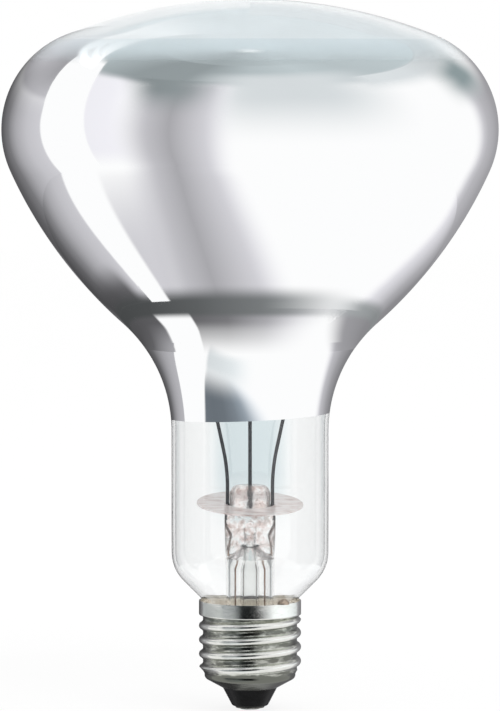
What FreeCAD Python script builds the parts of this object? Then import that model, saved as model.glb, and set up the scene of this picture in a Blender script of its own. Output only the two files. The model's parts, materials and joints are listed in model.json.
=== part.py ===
import FreeCAD, Part

import math
import os

from FreeCAD import Placement, Rotation, Vector

# Infrared reflector heat lamp, standing on its centre contact with the dome up.
# The origin is the middle of the contact's flat, +Z runs up the lamp's axis and
# -Y faces the viewer. All sizes are millimetres and degrees.

# E27 screw cap: contact, insulator and rolled sheet shell
solder_height = 0.45
solder_radius = 3.0
solder_flat_radius = 1.8
contact_thickness = 0.45
contact_radius = 3.7
contact_corner = 0.15
eyelet_radius = 1.1
eyelet_bore_radius = 0.7
eyelet_length = 2.6
insulator_rise = 4.7
insulator_base_radius = 4.5
insulator_base_corner = 0.8
insulator_seat_width = 2.4
insulator_block_height = 3.2
sheet_thickness = 0.3
cap_hole_radius = 7.0
cap_cone_angle = 29.0
cap_corner_radius = 1.2
cap_heel_step = 0.4
cap_heel_length = 1.1
cap_heel_taper = 0.7
thread_crest_radius = 13.05
thread_pitch = 3.629
thread_arc_radius = 1.025
thread_arc_points = 4
thread_root_land = 0.06
thread_zone_length = 14.3
thread_start_gap = 1.5
thread_start_angle = -32.0
thread_fade_length = 1.2
collar_length = 3.7
collar_bend_radius = 0.35

# Glass bulb: stub, taper, neck, bowl and face, all tangent arcs
glass_wall = 1.0
seal_depth = 6.4
stub_clearance = 1.3
stub_fillet_radius = 3.0
taper_angle = 45.0
taper_rim_clearance = 0.9
neck_corner_radius = 10.0
neck_radius = 20.0
neck_length = 43.3
neck_fillet_radius = 36.9
flank_radius = 114.9
bowl_radius = 63.05
bowl_depth = 76.75
shoulder_radius = 25.8
dome_radius = 125.1

# Aluminium film inside the bowl, from the neck to above the widest ring
mirror_thickness = 0.12
mirror_start = 3.95
mirror_edge_skew = 2.4
mirror_top_rise = 16.75

# Stem: trumpet, tube, press, button and the tube used to pump the bulb out
stem_wall = 1.0
trumpet_lip_radius = 0.45
stem_tube_radius = 6.15
stem_tube_length = 15.0
press_step = 0.05
press_shoulder_height = 8.5
press_cover = 0.3
press_half_thickness = 3.0
press_height = 5.0
press_squareness = 3.2
press_curve_points = 32
bore_tip_height = 3.0
bore_straight_height = 2.0
button_radius = 5.2
button_height = 7.5
button_crown_radius = 2.4
exhaust_radius = 2.4
exhaust_wall = 0.8
exhaust_tip_length = 4.0
exhaust_length = 29.0
blow_hole_radius = 1.7
blow_hole_drop = 3.5

# Wires: nickel leads above the press, seals in it and copper wires below
lead_radius = 0.45
lead_gap = 0.1
lead_embed = 1.5
lead_straight_rise = 7.0
lead_bend_radius = 45.0
lead_spread_angle = 12.0
lead_end_rise = 0.9
seal_wire_radius = 0.3
seal_wire_height = 5.0
seal_wire_straight = 1.0
seal_wire_shift = 1.15
seal_wire_bend = 1.5
tail_radius = 0.22
tail_bend = 1.6
tail_slack = 3.2
rim_bend = 0.5

# Mica heat shield on the leads, tipped as it sits in the neck
shield_radius = 13.6
shield_hole_clearance = 0.15
shield_thickness = 0.3
shield_rise = 2.7
shield_tilt = 8.0
shield_roll = 1.4
clip_radius = 0.85
clip_foot_rise = 0.7

# Filament, its clamps, hooks, bead and post
filament_rise = 68.0
coil_radius = 1.2
coil_wire_radius = 0.2
clamp_radius = 1.4
clamp_length = 2.0
hook_wire_radius = 0.15
hook_count = 3
bead_radius = 2.2
bead_drop = 4.0
post_radius = 0.47
post_embed = 6.5

# Cement in the collar, the solder over its rim, and the room between parts that only just clear
cement_recess = 0.7
side_solder_radius = 1.5
side_solder_angle = -49.0
fit_clearance = 0.05
cut_overrun = 1.0

# Radii worked out from the sizes above
Z = Vector(0, 0, 1)
thread_depth = 2 * (thread_arc_radius - math.sqrt(thread_arc_radius**2 - (thread_pitch / 4) ** 2))
thread_root_radius = thread_crest_radius - thread_depth + thread_root_land
collar_radius = thread_crest_radius
cap_heel_radius = thread_root_radius - cap_heel_step
rim_glass_radius = collar_radius - sheet_thickness - taper_rim_clearance
stub_radius = thread_root_radius - sheet_thickness - stub_clearance
trumpet_curve_radius = stub_radius - glass_wall - stem_tube_radius
stem_bore_radius = stem_tube_radius - stem_wall
lead_offset = button_radius + lead_gap + lead_radius
press_half_width = lead_offset + lead_radius + press_cover
shield_hole_radius = lead_offset + lead_radius + shield_hole_clearance
exhaust_bore_radius = exhaust_radius - exhaust_wall
tail_top_offset = lead_offset - seal_wire_shift
tail_offset = (exhaust_radius + stem_bore_radius) / 2

# Heights worked out from the sizes above
insulator_bottom = solder_height + contact_thickness
cap_hole_height = insulator_bottom + insulator_rise
cone_tan = math.tan(math.radians(cap_cone_angle))
cone_cos = math.cos(math.radians(cap_cone_angle))
cap_corner_height = cap_hole_height + (cap_heel_radius - cap_hole_radius) * cone_tan
thread_zone_bottom = cap_corner_height + cap_heel_length + cap_heel_taper
collar_bottom = thread_zone_bottom + thread_zone_length
cap_height = collar_bottom + collar_length
seal_height = cap_height - seal_depth
neck_top = cap_height + neck_length
widest_height = neck_top + bowl_depth
press_bottom = seal_height + stem_tube_length
press_top = press_bottom + press_shoulder_height + press_height
shield_height = press_top + shield_rise
filament_height = press_top + filament_rise
bead_height = filament_height - bead_drop
stem_bore_top = press_bottom + bore_straight_height + bore_tip_height
seal_wire_top = press_top - lead_embed
tail_top = seal_wire_top - seal_wire_height
trumpet_lip = seal_height - stem_wall
tail_turn_height = trumpet_lip - tail_slack


def at(radius, height):
    return Vector(radius, 0, height)


def rounded_edges(points, radii, closed):
    """Straight edges through the points, with a tangent arc of its own radius at each corner."""
    count = len(points)
    starts, ends, arcs = list(points), list(points), [None] * count
    corners = range(count) if closed else range(1, count - 1)
    for i in corners:
        if radii[i] == 0:
            continue
        corner = points[i]
        back = (points[i - 1] - corner).normalize()
        ahead = (points[(i + 1) % count] - corner).normalize()
        half = back.getAngle(ahead) / 2
        middle = (back + ahead).normalize()
        trim = radii[i] / math.tan(half)
        starts[i] = corner + back * trim
        ends[i] = corner + ahead * trim
        apex = corner + middle * (radii[i] / math.sin(half) - radii[i])
        arcs[i] = Part.Arc(starts[i], apex, ends[i]).toShape()
    edges = []
    for i in range(count):
        if arcs[i]:
            edges.append(arcs[i])
        if closed or i < count - 1:
            after = starts[(i + 1) % count]
            if ends[i].distanceToPoint(after) > 1e-6:
                edges.append(Part.makeLine(ends[i], after))
    return edges


def spin(edges):
    """Revolve a closed outline in the XZ plane about the lamp's axis."""
    return Part.Face(Part.Wire(edges)).revolve(Vector(0, 0, 0), Z, 360)


def turned(corners):
    """A turned solid from its corners: (radius, height) or (radius, height, fillet)."""
    points = [at(c[0], c[1]) for c in corners]
    radii = [c[2] if len(c) == 3 else 0 for c in corners]
    return spin(rounded_edges(points, radii, True))


def bent_wire(points, radii, wire_radius):
    """A round wire through the points, bent with its own radius at each."""
    path = Part.Wire(rounded_edges(points, radii, False))
    section = Part.Circle(points[0], points[1] - points[0], wire_radius).toShape()
    return path.makePipeShell([Part.Wire([section])], True, False)


def rod(start, end, radius):
    return Part.makeCylinder(radius, start.distanceToPoint(end), start, end - start)


class Arc:
    """One arc of the bulb's outline. side is 1 where its centre is inside the glass, else -1."""

    def __init__(self, centre, radius, side, start, end):
        self.centre = centre
        self.radius = radius
        self.side = side
        self.start = start
        self.end = end

    def point(self, angle, offset):
        r = self.radius - self.side * offset
        return at(self.centre[0] + r * math.cos(angle), self.centre[1] + r * math.sin(angle))

    def ends(self, offset):
        return self.point(self.start, offset), self.point(self.end, offset)

    def edge(self, offset):
        first, last = self.ends(offset)
        middle = self.point((self.start + self.end) / 2, offset)
        return Part.Arc(first, middle, last).toShape()


def taper_arc_height(centre_radius, distance):
    """Height of an arc centre that lies this far outside the taper line."""
    turn = math.radians(taper_angle)
    reach = (centre_radius - rim_glass_radius) * math.cos(turn) - distance
    return cap_height + reach / math.sin(turn)


def bulb_arcs():
    """The bulb's outline from the stub to the top of the dome."""
    turn = math.radians(taper_angle)
    stub_centre = stub_radius + stub_fillet_radius
    stub = (stub_centre, taper_arc_height(stub_centre, stub_fillet_radius))
    heel_centre = neck_radius - neck_corner_radius
    heel = (heel_centre, taper_arc_height(heel_centre, -neck_corner_radius))
    neck = (neck_radius + neck_fillet_radius, neck_top)
    shoulder = (bowl_radius - shoulder_radius, widest_height)

    # The flank is inside the shoulder circle's tangent and outside the neck fillet's.
    gap_r = neck[0] - shoulder[0]
    gap_z = neck[1] - shoulder[1]
    gap = math.hypot(gap_r, gap_z)
    to_shoulder = flank_radius - shoulder_radius
    to_neck = flank_radius + neck_fillet_radius
    along = (to_shoulder**2 - to_neck**2 + gap**2) / (2 * gap)
    across = math.sqrt(to_shoulder**2 - along**2)
    flank = (
        shoulder[0] + (along * gap_r + across * gap_z) / gap,
        shoulder[1] + (along * gap_z - across * gap_r) / gap,
    )
    flank_top = math.atan2(shoulder[1] - flank[1], shoulder[0] - flank[0])
    flank_bottom = math.atan2(neck[1] - flank[1], neck[0] - flank[0])

    # The dome's centre is on the axis, where the shoulder circle touches it from inside.
    drop = math.sqrt((dome_radius - shoulder_radius) ** 2 - shoulder[0] ** 2)
    dome = (0, widest_height - drop)
    dome_start = math.atan2(drop, shoulder[0])
    return [
        Arc(stub, stub_fillet_radius, -1, math.pi, math.pi - turn),
        Arc(heel, neck_corner_radius, 1, -turn, 0),
        Arc(neck, neck_fillet_radius, -1, math.pi, math.pi + flank_bottom),
        Arc(flank, flank_radius, 1, flank_bottom, flank_top),
        Arc(shoulder, shoulder_radius, 1, flank_top, dome_start),
        Arc(dome, dome_radius, 1, dome_start, math.pi / 2),
    ]


def bulb_outline(offset):
    """Edges of the outline, moved inwards by offset, from the stub's end up to the axis."""
    arcs = bulb_arcs()
    edges = []
    last = at(stub_radius - offset, seal_height)
    for arc in arcs:
        first, end = arc.ends(offset)
        if last.distanceToPoint(first) > 1e-6:
            edges.append(Part.makeLine(last, first))
        edges.append(arc.edge(offset))
        last = end
    return edges


def bulb_layer(outer, inner):
    """The solid between two offsets of the outline."""
    top = bulb_arcs()[-1]
    crown = Part.makeLine(top.ends(outer)[1], top.ends(inner)[1])
    foot = Part.makeLine(at(stub_radius - outer, seal_height), at(stub_radius - inner, seal_height))
    edges = bulb_outline(outer) + [crown] + bulb_outline(inner) + [foot]
    return spin(Part.__sortEdges__(edges))


def glass_bulb():
    return bulb_layer(0, glass_wall)


def mirror_coating():
    outside = glass_wall + fit_clearance
    film = bulb_layer(outside, outside + mirror_thickness)
    bottom = neck_top + mirror_start
    top = widest_height + mirror_top_rise
    reach = 2 * bowl_radius
    below = Part.makeBox(2 * reach, 2 * reach, reach, Vector(-reach, -reach, -reach))
    below.Placement = Placement(
        Vector(0, 0, bottom), Rotation(Vector(0, 1, 0), -mirror_edge_skew)
    ).multiply(below.Placement)
    above = Part.makeBox(2 * reach, 2 * reach, reach, Vector(-reach, -reach, top))
    return film.cut(below).cut(above)


def press_section(half_width, half_thickness, squareness, height):
    """A closed superellipse, from round at 2 to nearly square."""
    points = []
    for i in range(press_curve_points):
        angle = 2 * math.pi * i / press_curve_points
        c, s = math.cos(angle), math.sin(angle)
        x = half_width * math.copysign(abs(c) ** (2 / squareness), c)
        y = half_thickness * math.copysign(abs(s) ** (2 / squareness), s)
        points.append(Vector(x, y, height))
    curve = Part.BSplineCurve()
    curve.interpolate(points, True)
    return Part.Wire([curve.toShape()])


def stem_press():
    """The tube's end, softened and pinched flat round the wires."""
    start = press_bottom - 2 * press_step
    shoulder = press_bottom + press_shoulder_height
    round_radius = stem_tube_radius + press_step
    half_way = (press_bottom + shoulder) / 2
    middle_width = (round_radius + press_half_width) / 2
    middle_thickness = (round_radius + press_half_thickness) / 2
    middle_squareness = (2 + press_squareness) / 2
    sections = [
        press_section(round_radius, round_radius, 2, start),
        press_section(middle_width, middle_thickness, middle_squareness, half_way),
        press_section(press_half_width, press_half_thickness, press_squareness, shoulder),
        press_section(press_half_width, press_half_thickness, press_squareness, press_top),
    ]
    return Part.makeLoft(sections, True, False)


def stem_glass(wires):
    bore = stem_bore_radius
    tube = turned(
        [
            (stub_radius, trumpet_lip, trumpet_lip_radius),
            (stub_radius, seal_height),
            (stem_tube_radius, seal_height, trumpet_curve_radius),
            (stem_tube_radius, press_bottom),
            (bore, press_bottom),
            (bore, trumpet_lip, trumpet_curve_radius + stem_wall),
        ]
    )
    button = turned(
        [
            (0, press_top - press_step),
            (button_radius, press_top - press_step),
            (button_radius, press_top + button_height, button_crown_radius),
            (0, press_top + button_height),
        ]
    )
    pinched_bore = turned(
        [
            (0, press_bottom - cut_overrun),
            (bore - press_step, press_bottom - cut_overrun),
            (bore - press_step, press_bottom + bore_straight_height),
            (exhaust_radius + 2 * press_step, stem_bore_top),
            (0, stem_bore_top),
        ]
    )
    blow_height = press_top - blow_hole_drop
    channel = rod(at(0, stem_bore_top - cut_overrun), at(0, blow_height), exhaust_bore_radius)
    mouth = Vector(0, -2 * press_half_thickness, blow_height)
    blow_hole = rod(at(0, blow_height), mouth, blow_hole_radius)
    body = tube.fuse([stem_press(), button])
    return body.cut([pinched_bore, channel, blow_hole] + wires)


def exhaust_tube():
    """The pumping tube, drawn to a closed tip below the seal."""
    bottom = stem_bore_top - exhaust_length
    neck = bottom + exhaust_tip_length
    return turned(
        [
            (0, bottom),
            (exhaust_wall, bottom, exhaust_wall / 2),
            (exhaust_radius, neck, exhaust_radius),
            (exhaust_radius, stem_bore_top),
            (exhaust_bore_radius, stem_bore_top),
            (exhaust_bore_radius, neck, exhaust_bore_radius),
            (0, neck - exhaust_bore_radius),
        ]
    )


def lead_tip_radius(height):
    """Distance of a spread lead from the axis at this height."""
    spread = math.radians(lead_spread_angle)
    bend_top = press_top + lead_straight_rise + lead_bend_radius * math.sin(spread)
    sweep = lead_bend_radius * (1 - math.cos(spread))
    return lead_offset + sweep + (height - bend_top) * math.tan(spread)


def lead_inner(side):
    """A lead that rises from the press, bends outwards and ends in a filament clamp."""
    bend = press_top + lead_straight_rise
    sharp = bend + lead_bend_radius * math.tan(math.radians(lead_spread_angle / 2))
    tip = filament_height + lead_end_rise
    points = [
        at(side * lead_offset, seal_wire_top),
        at(side * lead_offset, sharp),
        at(side * lead_tip_radius(tip), tip),
    ]
    return bent_wire(points, [0, lead_bend_radius, 0], lead_radius)


def lead_seal(side):
    """The thin wire that the press seals round, between a lead and its copper tail."""
    outer = side * lead_offset
    inner = side * tail_top_offset
    points = [
        at(outer, seal_wire_top),
        at(outer, seal_wire_top - seal_wire_straight),
        at(inner, tail_top + seal_wire_straight),
        at(inner, tail_top),
    ]
    return bent_wire(points, [0, seal_wire_bend, seal_wire_bend, 0], seal_wire_radius)


def tail_start(side):
    """Where both copper tails leave the press and run down inside the stem."""
    return [
        at(side * tail_top_offset, tail_top),
        at(side * tail_top_offset, tail_top - seal_wire_height / 2),
        at(side * tail_offset, press_bottom),
        at(side * tail_offset, tail_turn_height),
    ]


def solder_side(radius, height):
    """A point on the side solder's meridian."""
    turn = math.radians(side_solder_angle)
    return Vector(radius * math.cos(turn), radius * math.sin(turn), height)


def lead_outer_shell():
    """Round the trumpet's lip, up between glass and shell, and over the cap's rim."""
    gap_radius = stub_radius + stub_clearance / 2
    rim_gap_radius = rim_glass_radius + taper_rim_clearance / 2
    over_rim = cap_height + tail_radius + 2 * fit_clearance
    points = tail_start(1) + [
        solder_side(gap_radius, tail_turn_height + tail_bend / 2),
        solder_side(gap_radius, collar_bottom),
        solder_side(rim_gap_radius, (collar_bottom + cap_height) / 2),
        solder_side(rim_gap_radius, over_rim),
        solder_side(collar_radius, over_rim),
    ]
    radii = [tail_bend] * (len(points) - 2) + [rim_bend, 0]
    return bent_wire(points, radii, tail_radius)


def lead_outer_contact():
    """Past the pumping tube's tip, down through the eyelet to the contact."""
    block_top = cap_hole_height + insulator_block_height
    points = tail_start(-1) + [at(0, block_top), at(0, solder_height)]
    return bent_wire(points, [tail_bend] * len(points), tail_radius)


def shield_placement():
    tip = Rotation(Vector(1, 0, 0), shield_tilt)
    roll = Rotation(Vector(0, 1, 0), shield_roll)
    return Placement(Vector(0, 0, shield_height), roll.multiply(tip))


def heat_shield_disc():
    disc = Part.makeCylinder(shield_radius, shield_thickness, at(0, -shield_thickness / 2))
    hole = Part.makeCylinder(shield_hole_radius, 3 * shield_thickness, at(0, -1.5 * shield_thickness))
    disc = disc.cut(hole)
    disc.Placement = shield_placement().multiply(disc.Placement)
    return disc


def shield_clip(side, lead):
    """A sleeve crimped on the lead under the mica, open towards the button."""
    foot = at(side * lead_offset, press_top + clip_foot_rise)
    sleeve = Part.makeCylinder(clip_radius, 2 * shield_rise, foot)
    button = Part.makeCylinder(button_radius + fit_clearance, button_height, at(0, press_top))
    above = Part.makeCylinder(shield_radius, 3 * shield_rise, at(0, -shield_thickness / 2))
    above.Placement = shield_placement().multiply(above.Placement)
    return sleeve.cut([lead, button, above])


def filament():
    """The coil as a hollow tube of its outer size, bent round the back of the lamp."""
    radius = lead_tip_radius(filament_height)
    start = math.asin((clamp_length / 2 + 2 * fit_clearance) / radius)
    centre = Vector(radius, 0, filament_height)
    outer = Part.Wire([Part.Circle(centre, Vector(0, 1, 0), coil_radius).toShape()])
    bore = Part.Circle(centre, Vector(0, 1, 0), coil_radius - 2 * coil_wire_radius)
    section = Part.Face([outer, Part.Wire([bore.toShape()])])
    section.rotate(Vector(0, 0, 0), Z, math.degrees(start))
    return section.revolve(Vector(0, 0, 0), Z, 180 - 2 * math.degrees(start))


def filament_clamp(side, lead):
    centre = Vector(side * lead_tip_radius(filament_height), 0, filament_height)
    half = Vector(0, clamp_length / 2, 0)
    return rod(centre - half, centre + half, clamp_radius).cut(lead)


def support_hook(index):
    """A thin wire from the bead, with an eye round the coil."""
    turn = math.pi * (index + 1) / (hook_count + 1)
    radial = Vector(math.cos(turn), math.sin(turn), 0)
    centre = radial * lead_tip_radius(filament_height) + at(0, filament_height)
    bead = at(0, bead_height)
    outward = (centre - bead).normalize()
    eye_radius = coil_radius + hook_wire_radius + fit_clearance
    tangent = Z.cross(radial)
    eye = Part.makeTorus(eye_radius, hook_wire_radius, centre, tangent)
    shank = rod(bead + outward * bead_radius / 2, centre - outward * eye_radius, hook_wire_radius)
    return shank.fuse(eye)


def support_post():
    return rod(at(0, press_top + button_height - post_embed), at(0, bead_height), post_radius)


def support_bead(wires):
    return Part.makeSphere(bead_radius, at(0, bead_height)).cut(wires)


def cone_height(radius, offset):
    """Height of the cap's conical bottom, moved inwards by offset."""
    return cap_hole_height + (radius - cap_hole_radius) * cone_tan + offset / cone_cos


def shell_blank(offset, top):
    """The cap's turned form without its thread, moved inwards by offset."""
    heel = cap_heel_radius - offset
    root = thread_root_radius - offset
    collar = collar_radius - offset
    return turned(
        [
            (0, cone_height(0, offset)),
            (heel, cone_height(heel, offset), cap_corner_radius - offset),
            (heel, cap_corner_height + cap_heel_length),
            (root, thread_zone_bottom),
            (root, collar_bottom + offset, collar_bend_radius + offset),
            (collar, collar_bottom + offset, collar_bend_radius - offset),
            (collar, top),
            (0, top),
        ]
    )


def thread_profile(offset):
    """Points over one thread, on equal arcs that are convex at the crest and hollow at the root."""
    crest = thread_crest_radius - offset
    root = crest - thread_depth
    half = thread_pitch / 2
    crest_arc = thread_arc_radius - offset
    root_arc = thread_arc_radius + offset
    flank = math.atan2(half, root + root_arc - crest + crest_arc)
    turns = [flank * i / thread_arc_points for i in range(thread_arc_points + 1)]
    upper = [at(crest, 0)]
    for turn in turns[1:]:
        upper.append(at(crest - crest_arc * (1 - math.cos(turn)), crest_arc * math.sin(turn)))
    for turn in reversed(turns[1:-1]):
        upper.append(at(root + root_arc * (1 - math.cos(turn)), half - root_arc * math.sin(turn)))
    lower = [at(point.x, -point.z) for point in reversed(upper[1:])]
    return lower + upper


def thread_ridge(offset):
    """The rolled thread, swept along its helix and buried in the shell's wall at its foot."""
    points = thread_profile(offset)
    buried = thread_root_radius - offset - 2 * sheet_thickness
    foot, head = at(buried, points[0].z), at(buried, points[-1].z)
    curve = Part.BSplineCurve()
    curve.interpolate(points)
    section = Part.Wire(
        [
            curve.toShape(),
            Part.makeLine(points[-1], head),
            Part.makeLine(head, foot),
            Part.makeLine(foot, points[0]),
        ]
    )
    helix = Part.makeHelix(
        thread_pitch, thread_zone_length + 2 * thread_start_gap, thread_root_radius
    )
    pipe = Part.BRepOffsetAPI.MakePipeShell(helix)
    pipe.setFrenetMode(True)
    pipe.add(section)
    pipe.build()
    pipe.makeSolid()
    ridge = pipe.shape()
    ridge.translate(at(0, thread_zone_bottom - thread_start_gap))
    ridge.rotate(Vector(0, 0, 0), Z, thread_start_angle)
    return ridge.common(thread_envelope(offset))


def thread_envelope(offset):
    """Cones that fade the thread out at both ends."""
    root = thread_root_radius - offset
    wide = thread_crest_radius + thread_arc_radius
    rise = (wide - root) * thread_fade_length / thread_depth
    low = thread_zone_bottom
    high = collar_bottom
    inner = root - 3 * sheet_thickness
    return turned(
        [
            (inner, low),
            (root, low),
            (wide, low + rise),
            (wide, high - rise),
            (root, high),
            (inner, high),
        ]
    )


def screw_shell():
    outer = shell_blank(0, cap_height).fuse(thread_ridge(0))
    inner = shell_blank(sheet_thickness, cap_height + cut_overrun).fuse(thread_ridge(sheet_thickness))
    hole = Part.makeCylinder(cap_hole_radius, cap_height, at(0, 0))
    return outer.cut([inner, hole])


def cap_insulator():
    """Black glass cone, keyed into the shell's conical bottom."""
    neck = cap_hole_radius - fit_clearance
    seat = cap_hole_radius + insulator_seat_width
    lift = sheet_thickness + fit_clearance
    top = cap_hole_height + insulator_block_height
    bore = eyelet_radius + fit_clearance
    return turned(
        [
            (bore, insulator_bottom),
            (insulator_base_radius, insulator_bottom, insulator_base_corner),
            (neck, cap_hole_height),
            (neck, cone_height(neck, lift)),
            (seat, cone_height(seat, lift)),
            (seat, top),
            (bore, top),
        ]
    )


def centre_contact():
    """Brass disc with an eyelet that keys it into the insulator."""
    return turned(
        [
            (eyelet_bore_radius, solder_height),
            (contact_radius, solder_height, contact_corner),
            (contact_radius, insulator_bottom, contact_corner),
            (eyelet_radius, insulator_bottom),
            (eyelet_radius, insulator_bottom + eyelet_length),
            (eyelet_bore_radius, insulator_bottom + eyelet_length),
        ]
    )


def centre_solder():
    """Solder dome with a flat worn on its tip."""
    spread = solder_radius - solder_flat_radius
    crown = (spread**2 + solder_height**2) / (2 * solder_height)
    lean = math.asin(spread / crown) / 2
    middle = at(solder_flat_radius + crown * math.sin(lean), crown * (1 - math.cos(lean)))
    flat = at(solder_flat_radius, 0)
    edge = at(solder_radius, solder_height)
    edges = [
        Part.makeLine(at(0, 0), flat),
        Part.Arc(flat, middle, edge).toShape(),
        Part.makeLine(edge, at(0, solder_height)),
        Part.makeLine(at(0, solder_height), at(0, 0)),
    ]
    return spin(edges)


def side_solder(wire, glass):
    """Solder blob on the rim, over the end of the shell's wire."""
    centre = solder_side(collar_radius - sheet_thickness / 2, cap_height)
    blob = Part.makeSphere(side_solder_radius, centre, Z, 0, 90, 360)
    return blob.cut([wire, glass])


def basing_cement(wire):
    """Cement ring that holds the glass in the collar."""
    bottom = collar_bottom + sheet_thickness + fit_clearance
    top = cap_height - cement_recess
    outer = collar_radius - sheet_thickness - fit_clearance
    ring = Part.makeCylinder(outer, top - bottom, at(0, bottom))
    crown = bulb_arcs()[-1].ends(-fit_clearance)[1]
    foot = at(stub_radius + fit_clearance, seal_height)
    axis = [Part.makeLine(crown, at(0, seal_height)), Part.makeLine(at(0, seal_height), foot)]
    plug = spin(Part.__sortEdges__(bulb_outline(-fit_clearance) + axis))
    return ring.cut([plug, wire])


def build_nodes():
    sides = {"left": -1, "right": 1}
    nodes = {"glass_bulb": glass_bulb(), "mirror_coating": mirror_coating()}
    for name, side in sides.items():
        nodes["lead_inner_" + name] = lead_inner(side)
        nodes["lead_seal_" + name] = lead_seal(side)
    nodes["lead_outer_shell"] = lead_outer_shell()
    nodes["lead_outer_contact"] = lead_outer_contact()
    nodes["support_post"] = support_post()
    sealed_in = [shape for name, shape in nodes.items() if name.startswith(("lead", "support"))]
    nodes["stem_glass"] = stem_glass(sealed_in)
    nodes["exhaust_tube"] = exhaust_tube()
    nodes["heat_shield_disc"] = heat_shield_disc()
    for name, side in sides.items():
        lead = nodes["lead_inner_" + name]
        nodes["shield_clip_" + name] = shield_clip(side, lead)
        nodes["filament_clamp_" + name] = filament_clamp(side, lead)
    nodes["filament"] = filament()
    hooks = [support_hook(i) for i in range(hook_count)]
    for i, hook in enumerate(hooks):
        nodes["support_hook_%d" % (i + 1)] = hook
    nodes["support_bead"] = support_bead(hooks + [nodes["support_post"]])
    nodes["screw_shell"] = screw_shell()
    nodes["cap_insulator"] = cap_insulator()
    nodes["centre_contact"] = centre_contact()
    nodes["centre_solder"] = centre_solder()
    nodes["side_solder"] = side_solder(nodes["lead_outer_shell"], nodes["glass_bulb"])
    nodes["basing_cement"] = basing_cement(nodes["lead_outer_shell"])
    return nodes


os.makedirs("parts", exist_ok=True)
for node_name, node_shape in build_nodes().items():
    node_shape.exportStep("parts/" + node_name + ".step")
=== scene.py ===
import json
import math

import bmesh
import bpy
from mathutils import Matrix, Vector


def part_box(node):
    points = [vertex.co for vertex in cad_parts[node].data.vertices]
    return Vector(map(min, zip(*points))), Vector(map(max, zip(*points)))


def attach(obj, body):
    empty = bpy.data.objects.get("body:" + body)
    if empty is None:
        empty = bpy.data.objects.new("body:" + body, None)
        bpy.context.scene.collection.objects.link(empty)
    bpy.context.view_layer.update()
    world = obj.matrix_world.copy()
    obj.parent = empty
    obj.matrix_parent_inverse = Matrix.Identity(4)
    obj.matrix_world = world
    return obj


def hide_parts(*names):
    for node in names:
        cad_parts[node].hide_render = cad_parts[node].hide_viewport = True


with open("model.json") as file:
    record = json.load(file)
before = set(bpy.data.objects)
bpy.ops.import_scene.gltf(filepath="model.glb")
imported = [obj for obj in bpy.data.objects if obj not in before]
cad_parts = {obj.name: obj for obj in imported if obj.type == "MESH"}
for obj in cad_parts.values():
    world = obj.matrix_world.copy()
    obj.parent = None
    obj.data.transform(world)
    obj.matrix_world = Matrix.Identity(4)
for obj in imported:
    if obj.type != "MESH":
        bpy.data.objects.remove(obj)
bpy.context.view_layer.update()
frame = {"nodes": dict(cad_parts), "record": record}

# The looks of an infrared reflector heat lamp. Lengths are metres, and the lamp stands
# on its centre contact with +Z up its axis and -Y towards the camera.
MM = 0.001

# Bulb outline, the same tangent arcs as the solid's
GLASS_WALL = 1.0 * MM
STUB_RADIUS = 10.414 * MM
STUB_FILLET = 3.0 * MM
TAPER_ANGLE = math.radians(45)
TAPER_RIM_RADIUS = 11.85 * MM
NECK_CORNER = 10.0 * MM
NECK_RADIUS = 20.0 * MM
NECK_FILLET = 36.9 * MM
NECK_LENGTH = 43.3 * MM
FLANK_RADIUS = 114.9 * MM
SHOULDER_RADIUS = 25.8 * MM
DOME_RADIUS = 125.1 * MM

# Mirror film and its two edges
FILM_GAP = 0.05 * MM
FILM_THICKNESS = 0.12 * MM
FILM_START = 3.95 * MM
FILM_SKEW = math.radians(2.4)
FILM_TOP_RISE = 16.75 * MM
FILM_FADE = 6 * MM
SKEW_REACH = 8.0 * MM

# Heights and radii read from the frame, and sizes that go with them
CAP_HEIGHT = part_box("screw_shell")[1].z
SEAL_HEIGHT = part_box("glass_bulb")[0].z
BOWL_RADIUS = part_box("glass_bulb")[1].x
TOP_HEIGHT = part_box("glass_bulb")[1].z
COLLAR_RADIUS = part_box("screw_shell")[1].x
NECK_TOP = CAP_HEIGHT + NECK_LENGTH
FILM_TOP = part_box("mirror_coating")[1].z
WIDEST = FILM_TOP - FILM_TOP_RISE
FILM_BOTTOM = NECK_TOP + FILM_START
PRESS_BOTTOM = SEAL_HEIGHT + 15.0 * MM
PRESS_RISE = 6.0 * MM
THREAD_DEPTH = 1.1 * MM

# Filament coil: its wire's radius and the number of its turns
COIL_WIRE = 0.2 * MM
COIL_TURNS = 80

# Mesh fineness
TURN_STEPS = 200
OUTLINE_STEP = 1.4 * MM
ARC_STEP = 0.1 * MM
ARC_STEPS_LEAST = 8
POLE_RADIUS = 1e-6
COIL_TURN_STEPS = 14
COIL_WIRE_SIDES = 6

# Glass, and the spans of a noise's values that shades and roughness are spread over
FACE_TINT = (0.80, 0.87, 0.90)
BLOWN_GLASS_IOR = 1.5
PRESSED_GLASS_IOR = 1.52
WIDE_SPAN = (0.3, 0.7)
NARROW_SPAN = (0.35, 0.65)

# Camera: a long lens, a little above the lamp's middle. The sensor's width is millimetres.
CAMERA_DISTANCE = 1.2
CAMERA_ELEVATION = math.radians(3.5)
AIM = Vector((0.0, 0.0, TOP_HEIGHT / 2))
VIEW_HEIGHT = 181.0 * MM
SENSOR = 36.0

# Floor: half its width, and how much of what is seen of it is plain white
FLOOR_SIZE = 3.0
FLOOR_GLOW = 0.85

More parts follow.
